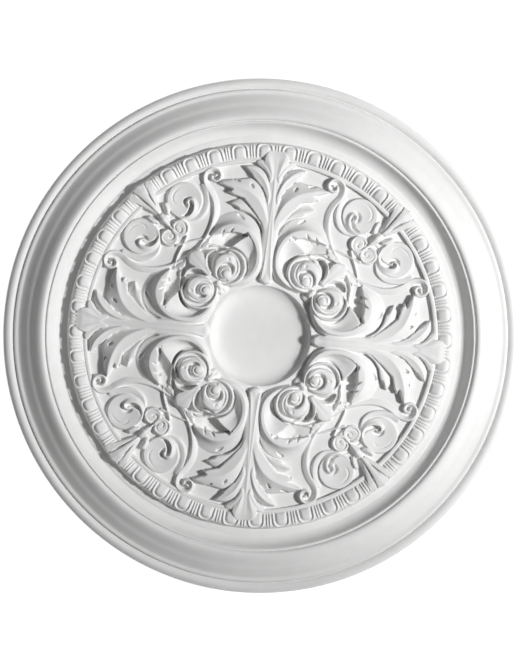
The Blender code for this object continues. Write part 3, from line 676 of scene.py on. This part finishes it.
    def husk(self) -> list:
        """The husk on the diagonal, which opens over the egg band."""
        wing = Blade((
            Rail(((141, 147), (146, 157), (150.4, 167), (154, 177), (157, 187)), (4, 7, 9.6, 11.4, 11)),
            Rail(((142, 146), (148.4, 156.4), (154.6, 166.6), (159, 176), (163, 184)), (6, 8.6, 11, 12.2, 11.4)),
            Rail(((143.6, 146), (151, 156.6), (157.6, 166.4), (163.2, 175.4), (166.6, 181.6)), (6.4, 9.4, 11.4, 12.4, 11.4))))
        fan = Blade((
            Rail(((143, 145), (151.4, 155.6), (158.8, 165.4), (164.6, 174.6), (167.6, 180.6)), (7.4, 10.8, 12.8, 13.6, 12.2)),
            Rail(((143, 143.5), (152, 153), (161, 163), (168, 171.5), (172.5, 177)), (8, 11.4, 13.4, 14.4, 12.8)),
            Rail(((142, 142), (152, 152), (162, 162), (170.5, 170.5), (175.5, 175.5)), (8, 11.6, 13.6, 14.6, 13))))
        return [wing, fan]


def carve_eighth(step: float = 0.3125) -> Relief:
    """Carve one eighth of the rose from all its ornament.

    Args:
        step: The side of a cell of the grid, in millimetres.

    Returns:
        The finished relief.
    """
    relief = Relief(step=step)
    forms = AcanthusLeaf().forms() + Calyx().forms() + ScrollWork().forms() + Rosette().forms()
    relief.carve(forms)
    relief.finish(blur=0.45, top=50.9)
    return relief


# Relief tools end here


@dataclass
class Mouldings:
    """The turned rings, from the outer edge in to the recess, over a flat back; millimetres."""

    outer_radius: float = 330.0
    segments: int = 300
    sunk: float = 1.6
    rings: tuple = (
        (330.0, 0.0), (330.0, 7.4), (329.4, 8.6), (328.0, 10.6), (326.0, 12.0), (323.6, 12.6), (321.4, 12.3),
        (319.4, 11.4), (318.0, 10.2), (317.2, 9.6), (316.6, 9.8), (316.1, 11.2), (315.4, 12.2), (314.2, 12.7),
        (312.6, 12.7), (311.0, 12.5), (309.6, 12.9), (307.4, 14.2), (305.0, 16.0), (302.4, 18.2), (300.0, 20.3),
        (298.0, 21.7), (296.0, 22.8), (294.0, 24.2), (291.5, 26.6), (289.0, 29.2), (286.6, 31.4), (284.4, 33.0),
        (282.2, 34.1), (280.0, 34.5), (278.2, 34.2), (276.8, 33.2), (275.8, 31.6), (275.2, 30.2), (274.6, 30.3),
        (274.2, 31.6), (273.6, 32.2), (272.4, 32.0), (271.4, 30.8), (270.2, 28.6), (268.4, 25.4), (266.2, 22.4),
        (263.6, 19.8), (260.6, 17.8), (257.2, 16.5), (253.6, 16.0), (250.6, 16.0), (248.2, 16.2), (246.4, 16.6),
        (240.0, 17.0), (229.0, 17.5), (227.6, 25.2), (226.8, 25.9), (226.2, 26.5), (225.0, 26.8), (223.2, 26.8),
        (222.3, 26.4), (222.0, 25.6), (221.6, 18.4), (72.2, 31.2), (70.6, 32.4), (69.6, 33.0), (66.4, 33.4),
        (65.2, 33.4), (64.4, 33.0), (63.9, 32.2), (63.4, 30.8), (62.6, 28.8), (61.4, 26.8), (59.6, 24.8),
        (57.2, 23.0), (54.2, 21.6), (50.4, 20.6), (45.6, 20.1), (39.0, 19.9), (0.0, 19.9))

    def surface(self, radius: np.ndarray) -> np.ndarray:
        """Read the height of the rings at each radius."""
        rows = np.array(sorted(self.rings))
        return np.interp(radius, rows[:, 0], rows[:, 1])

    def build(self) -> bpy.types.Object:
        """Turn the rings on a lathe and close the back."""
        shape = bmesh.new()
        outline = [shape.verts.new((radius * MM, 0.0, height * MM)) for radius, height in self.rings]
        outline.append(shape.verts.new((0.0, 0.0, 0.0)))
        edges = [shape.edges.new(pair) for pair in zip([outline[-1]] + outline[:-1], outline)]
        bmesh.ops.spin(shape, geom=outline + edges, cent=(0, 0, 0), axis=(0, 0, 1), angle=math.tau,
                       steps=self.segments, use_merge=True, use_duplicate=False)
        bmesh.ops.remove_doubles(shape, verts=shape.verts, dist=1e-6)
        bmesh.ops.recalc_face_normals(shape, faces=shape.faces)
        return finished("mouldings", shape, 32.0)


@dataclass
class EggBand:
    """The ring of upright eggs in their frames, with darts between; millimetres and degrees."""

    inner: float = 226.4
    outer: float = 248.0
    columns: int = 2160
    rows: int = 30
    base: float = 15.0
    profile: tuple = (
        (226.4, 24.8), (227.4, 26.4), (229.0, 27.8), (231.4, 29.0), (234.4, 30.0), (237.6, 30.6), (240.6, 30.6),
        (243.0, 30.0), (244.8, 28.6), (246.0, 26.0), (246.8, 22.6), (247.4, 18.6), (248.0, 14.6))
    egg_centres: tuple = (3.9, 11.7, 19.5, 27.3, 35.1)
    dart_centres: tuple = (0.0, 7.8, 15.6, 23.4, 31.2, 39.6, 41.4, 43.2)
    frame_half: float = 9.9
    frame_end: float = 245.6
    egg_half: float = 6.9

    def heights(self, radius: np.ndarray, degrees: np.ndarray) -> np.ndarray:
        """Height of the band, with its eggs, their frames and the darts, at each place."""
        rows = np.array(self.profile)
        level = np.interp(radius, rows[:, 0], rows[:, 1])
        turn = np.abs((degrees + 45.0) % 90.0 - 45.0)
        scale = math.radians(1.0) * radius
        aside = np.min([np.abs(turn - centre) for centre in self.egg_centres], axis=0) * scale
        ahead = np.maximum(0.0, radius - (self.frame_end - self.frame_half))
        edge = (aside ** 3 + ahead ** 3) ** (1 / 3)
        frame = 2.5 * np.exp(-((edge - self.frame_half) / 0.85) ** 2)
        egg = 2.7 * np.clip(1 - (edge / self.egg_half) ** 6, 0, 1)
        dart_aside = np.min([np.abs(turn - centre) for centre in self.dart_centres], axis=0) * scale
        dart = 2.1 * np.exp(-((dart_aside - 1.7) / 0.8) ** 2) * np.clip((246.0 - radius) / 4.0, 0, 1)
        dart = np.where(edge > self.frame_half, dart, 0)
        fade = np.clip((radius - 227.2) / 2.2, 0, 1) * np.clip((247.4 - radius) / 1.2, 0, 1)
        return level + fade * (np.maximum(np.maximum(frame, egg), dart) - 1.7)

    def build(self) -> bpy.types.Object:
        """Bend a fine grid round the rose, raise the eggs on it and close it underneath."""
        shape = bmesh.new()
        bmesh.ops.create_grid(shape, x_segments=self.columns, y_segments=self.rows, size=0.5)
        places = np.array([point.co[:2] for point in shape.verts])
        radius = self.inner + (places[:, 1] + 0.5) * (self.outer - self.inner)
        turn = (places[:, 0] + 0.5) * math.tau
        level = self.heights(radius, np.degrees(turn))
        for point, across_x, across_y, height in zip(shape.verts, radius * np.cos(turn), radius * np.sin(turn),
                                                     level):
            point.co = (across_x * MM, across_y * MM, height * MM)
        rim = [point for point in shape.verts if point.is_boundary]
        bmesh.ops.remove_doubles(shape, verts=rim, dist=1e-6)
        close_below(shape, self.base * MM)
        return finished("egg_band", shape, 180.0)


@dataclass
class CarvedQuarter:
    """A quarter of the carved field, whose height is the relief's, cut out where it shows."""

    relief: Relief
    mouldings: Mouldings
    step: float = 0.625
    reach: float = 257.5
    inner: float = 70.2
    outer: float = 222.6
    farthest: float = 256.0
    base: float = 17.0

    def build(self) -> bpy.types.Object:
        """Raise a flat grid to the relief and keep what stands over the rings."""
        cells = round(self.reach / self.step)
        shape = bmesh.new()
        bmesh.ops.create_grid(shape, x_segments=cells, y_segments=cells, size=self.reach / 2)
        places = np.array([point.co[:2] for point in shape.verts]) + self.reach / 2
        radius = np.hypot(places[:, 0], places[:, 1])
        level = self.relief.sample(places[:, 0], places[:, 1], self.step)
        rings = self.mouldings.surface(radius)
        shown = (level > rings + 0.05) & (radius > self.inner - 6) & (radius < self.farthest)
        shown |= (radius > self.inner) & (radius < self.outer)
        level = np.where(shown, level, np.minimum(level, rings - 0.8))
        for point, (right, up), height in zip(shape.verts, places, level):
            point.co = (right * MM, up * MM, height * MM)
        gone = [face for face in shape.faces if not any(shown[corner.index] for corner in face.verts)]
        bmesh.ops.delete(shape, geom=gone, context="FACES")
        close_below(shape, self.base * MM)
        return finished("carving_quarter_0", shape, 180.0)

    def turned(self, first: bpy.types.Object, count: int) -> bpy.types.Object:
        """Copy the first quarter and turn its mesh by quarter turns."""
        mesh = first.data.copy()
        mesh.transform(Matrix.Rotation(count * math.pi / 2, 4, "Z"))
        other = bpy.data.objects.new(f"carving_quarter_{count}", mesh)
        mesh.name = other.name
        bpy.context.scene.collection.objects.link(other)
        return other


def close_below(shape: bmesh.types.BMesh, base: float) -> None:
    """Drop a wall from every open edge of a surface to a level base, and close the base."""
    rim = [edge for edge in shape.edges if edge.is_boundary]
    for edge in rim:
        edge.smooth = False
    walls = bmesh.ops.extrude_edge_only(shape, edges=rim)["geom"]
    lowered = [part for part in walls if isinstance(part, bmesh.types.BMVert)]
    for point in lowered:
        point.co.z = base
    open_edges = [edge for edge in shape.edges if edge.is_boundary]
    bmesh.ops.triangle_fill(shape, use_beauty=False, use_dissolve=False, edges=open_edges)
    bmesh.ops.recalc_face_normals(shape, faces=shape.faces)


def finished(name: str, shape: bmesh.types.BMesh, angle: float) -> bpy.types.Object:
    """Make an object of a shape, smooth where its faces meet at less than an angle in degrees."""
    mesh = bpy.data.meshes.new(name)
    for face in shape.faces:
        face.smooth = True
    if angle < 180.0:
        limit = math.radians(angle)
        for edge in shape.edges:
            if len(edge.link_faces) == 2 and edge.calc_face_angle(0.0) > limit:
                edge.smooth = False
    shape.to_mesh(mesh)
    shape.free()
    piece = bpy.data.objects.new(name, mesh)
    bpy.context.scene.collection.objects.link(piece)
    return piece


class Value:
    """A number that varies over a surface, with the usual signs of arithmetic."""

    def __init__(self, shader: "Shader", socket: bpy.types.NodeSocket) -> None:
        """Hold the socket that gives the number."""
        self.shader = shader
        self.socket = socket

    def combine(self, operation: str, first: object, second: object) -> "Value":
        """Add one Math node for two numbers or sockets."""
        node = self.shader.add("ShaderNodeMath", {"operation": operation}, {0: first, 1: second})
        return Value(self.shader, node.outputs[0])

    def __add__(self, other: object) -> "Value":
        """Sum."""
        return self.combine("ADD", self, other)

    __radd__ = __add__

    def __sub__(self, other: object) -> "Value":
        """Difference."""
        return self.combine("SUBTRACT", self, other)

    def __rsub__(self, other: object) -> "Value":
        """Difference from the other."""
        return self.combine("SUBTRACT", other, self)

    def __mul__(self, other: object) -> "Value":
        """Product."""
        return self.combine("MULTIPLY", self, other)

    __rmul__ = __mul__


class Shader:
    """A material's node tree, with one way to add a node."""

    def __init__(self, name: str) -> None:
        """Start an empty material."""
        self.material = bpy.data.materials.new(name)
        self.material.use_nodes = True
        self.tree = self.material.node_tree
        self.tree.nodes.clear()

    def add(self, kind: str, settings: dict, links: dict) -> bpy.types.Node:
        """Add a node.

        Args:
            kind: The node's type.
            settings: What is set on the node before its sockets.
            links: A value, a Value or a socket for each input, by name or place.

        Returns:
            The new node.
        """
        node = self.tree.nodes.new(kind)
        for key, value in settings.items():
            setattr(node, key, value)
        for key, value in links.items():
            if isinstance(value, Value):
                value = value.socket
            if isinstance(value, bpy.types.NodeSocket):
                self.tree.links.new(value, node.inputs[key])
            else:
                node.inputs[key].default_value = value
        return node

    def value(self, node: bpy.types.Node, output: object = 0) -> Value:
        """Wrap an output for arithmetic."""
        return Value(self, node.outputs[output])


@dataclass(frozen=True)
class WhitePrimer:
    """Dry white primer over a moulded face: matt and a little uneven."""

    light: tuple = (0.82, 0.82, 0.815, 1.0)
    shade: tuple = (0.77, 0.77, 0.765, 1.0)
    roughness: float = 0.58
    cloud_scale: float = 11.0
    skin_scale: float = 75.0
    grain_scale: float = 900.0
    skin_depth: float = 0.00012
    grain_depth: float = 0.00004

    def material(self) -> bpy.types.Material:
        """Build the finish from noises read in the rose's own coordinates."""
        shader = Shader("white_primer")
        place = shader.add("ShaderNodeTexCoord", {}, {}).outputs["Object"]
        cloud = self.noise(shader, place, self.cloud_scale, 3.0)
        skin = self.noise(shader, place, self.skin_scale, 2.0)
        grain = self.noise(shader, place, self.grain_scale, 2.0)
        tone = shader.add("ShaderNodeMapRange", {}, {"Value": cloud * 0.7 + skin * 0.3, "From Min": 0.35,
                                                     "From Max": 0.65})
        colour = shader.add("ShaderNodeMix", {"data_type": "RGBA"}, {"Factor": tone.outputs[0]})
        colour.inputs[6].default_value = self.shade
        colour.inputs[7].default_value = self.light
        rough = skin * 0.10 + grain * 0.06 + (self.roughness - 0.08)
        uneven = shader.add("ShaderNodeBump", {}, {"Strength": 1.0, "Distance": self.skin_depth,
                                                   "Height": skin})
        fine = shader.add("ShaderNodeBump", {}, {"Strength": 1.0, "Distance": self.grain_depth,
                                                 "Height": grain, "Normal": uneven.outputs[0]})
        surface = shader.add("ShaderNodeBsdfPrincipled", {}, {
            "Base Color": colour.outputs[2], "Roughness": rough, "Normal": fine.outputs[0],
            "Specular IOR Level": 0.35})
        shader.add("ShaderNodeOutputMaterial", {}, {"Surface": surface.outputs[0]})
        return shader.material

    @staticmethod
    def noise(shader: Shader, place: bpy.types.NodeSocket, scale: float, detail: float) -> Value:
        """Add a noise of a scale per metre."""
        node = shader.add("ShaderNodeTexNoise", {}, {"Vector": place, "Scale": scale, "Detail": detail,
                                                     "Roughness": 0.55})
        return shader.value(node)


@dataclass
class Studio:
    """Plain floor, soft light and the camera straight above, in metres and degrees."""

    frame: tuple = (517, 671)
    pixels_to_edge: float = 257.4
    centre_pixel: tuple = (260.5, 335.75)
    distance: float = 6.0
    sensor: float = 36.0
    roll: float = 5.3
    light_azimuth: float = 1.5
    light_height: float = 46.5
    light_distance: float = 4.0
    light_radius: float = 0.20
    light_power: float = 690.0
    light_cone: float = 36.0
    light_aim: tuple = (-0.02, 0.40, 0.02)
    sky: float = 0.1

    def build(self) -> None:
        """Set out the floor, the light and the camera."""
        self.make_floor()
        self.make_light()
        self.make_camera()

    def make_floor(self) -> None:
        """Lay a wide pale floor at the back of the rose."""
        shape = bmesh.new()
        bmesh.ops.create_grid(shape, x_segments=1, y_segments=1, size=6.0)
        mesh = bpy.data.meshes.new("floor")
        shape.to_mesh(mesh)
        shape.free()
        floor = bpy.data.objects.new("floor", mesh)
        bpy.context.scene.collection.objects.link(floor)
        shader = Shader("floor_white")
        surface = shader.add("ShaderNodeBsdfPrincipled", {}, {
            "Base Color": (0.30, 0.30, 0.30, 1.0), "Roughness": 0.9, "Specular IOR Level": 0.0,
            "Emission Color": (1.0, 1.0, 1.0, 1.0), "Emission Strength": 0.95})
        shader.add("ShaderNodeOutputMaterial", {}, {"Surface": surface.outputs[0]})
        mesh.materials.append(shader.material)

    def make_light(self) -> None:
        """Hang one soft lamp, brighter over the top of the rose, and fill from all round."""
        turn, height = math.radians(self.light_azimuth), math.radians(self.light_height)
        away = Vector((math.cos(turn) * math.cos(height), math.sin(turn) * math.cos(height), math.sin(height)))
        lamp = bpy.data.lights.new("key", "SPOT")
        lamp.shadow_soft_size = self.light_radius
        lamp.energy = self.light_power
        lamp.spot_size = math.radians(self.light_cone)
        lamp.spot_blend = 1.0
        key = bpy.data.objects.new("key", lamp)
        key.location = away * self.light_distance
        toward = key.location - Vector(self.light_aim)
        key.rotation_euler = toward.to_track_quat("Z", "Y").to_euler()
        bpy.context.scene.collection.objects.link(key)
        world = bpy.data.worlds.new("studio")
        world.use_nodes = True
        background = world.node_tree.nodes["Background"]
        background.inputs["Color"].default_value = (1.0, 1.0, 1.0, 1.0)
        background.inputs["Strength"].default_value = self.sky
        bpy.context.scene.world = world
        bpy.context.scene.view_settings.view_transform = "Standard"

    def make_camera(self) -> None:
        """Look straight down at the rose, turned as in the photograph."""
        pixel = 0.33 / self.pixels_to_edge
        camera = bpy.data.cameras.new("camera")
        camera.sensor_fit = "VERTICAL"
        camera.sensor_height = self.sensor
        camera.lens = self.sensor * self.distance / (self.frame[1] * pixel)
        camera.clip_end = 50.0
        view = bpy.data.objects.new("camera", camera)
        turn = Matrix.Rotation(math.radians(self.roll), 3, "Z")
        aside = Vector(((self.frame[0] / 2 - self.centre_pixel[0]) * pixel,
                        (self.centre_pixel[1] - self.frame[1] / 2) * pixel, self.distance + 0.01))
        view.location = turn @ aside
        view.rotation_euler = (0.0, 0.0, math.radians(self.roll))
        bpy.context.scene.collection.objects.link(view)
        bpy.context.scene.camera = view


def dress(piece: bpy.types.Object, material: bpy.types.Material) -> None:
    """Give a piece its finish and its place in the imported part."""
    piece.data.materials.clear()
    piece.data.materials.append(material)
    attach(piece, BODY)
    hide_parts(NODE)
    logging.info("%s: %d faces", piece.name, len(piece.data.polygons))


def main() -> None:
    """Build the rose and the studio."""
    logging.basicConfig(level=logging.INFO, format="%(message)s")
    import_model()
    primer = WhitePrimer().material()
    rings = Mouldings()
    dress(rings.build(), primer)
    dress(EggBand().build(), primer)
    relief = carve_eighth()
    logging.info("relief: %.1f to %.1f mm", relief.heights.min(), relief.heights.max())
    quarter = CarvedQuarter(relief, rings)
    first = quarter.build()
    others = [quarter.turned(first, count) for count in (1, 2, 3)]
    for piece in [first] + others:
        dress(piece, primer)
    Studio().build()


if __name__ == "__main__":
    main()
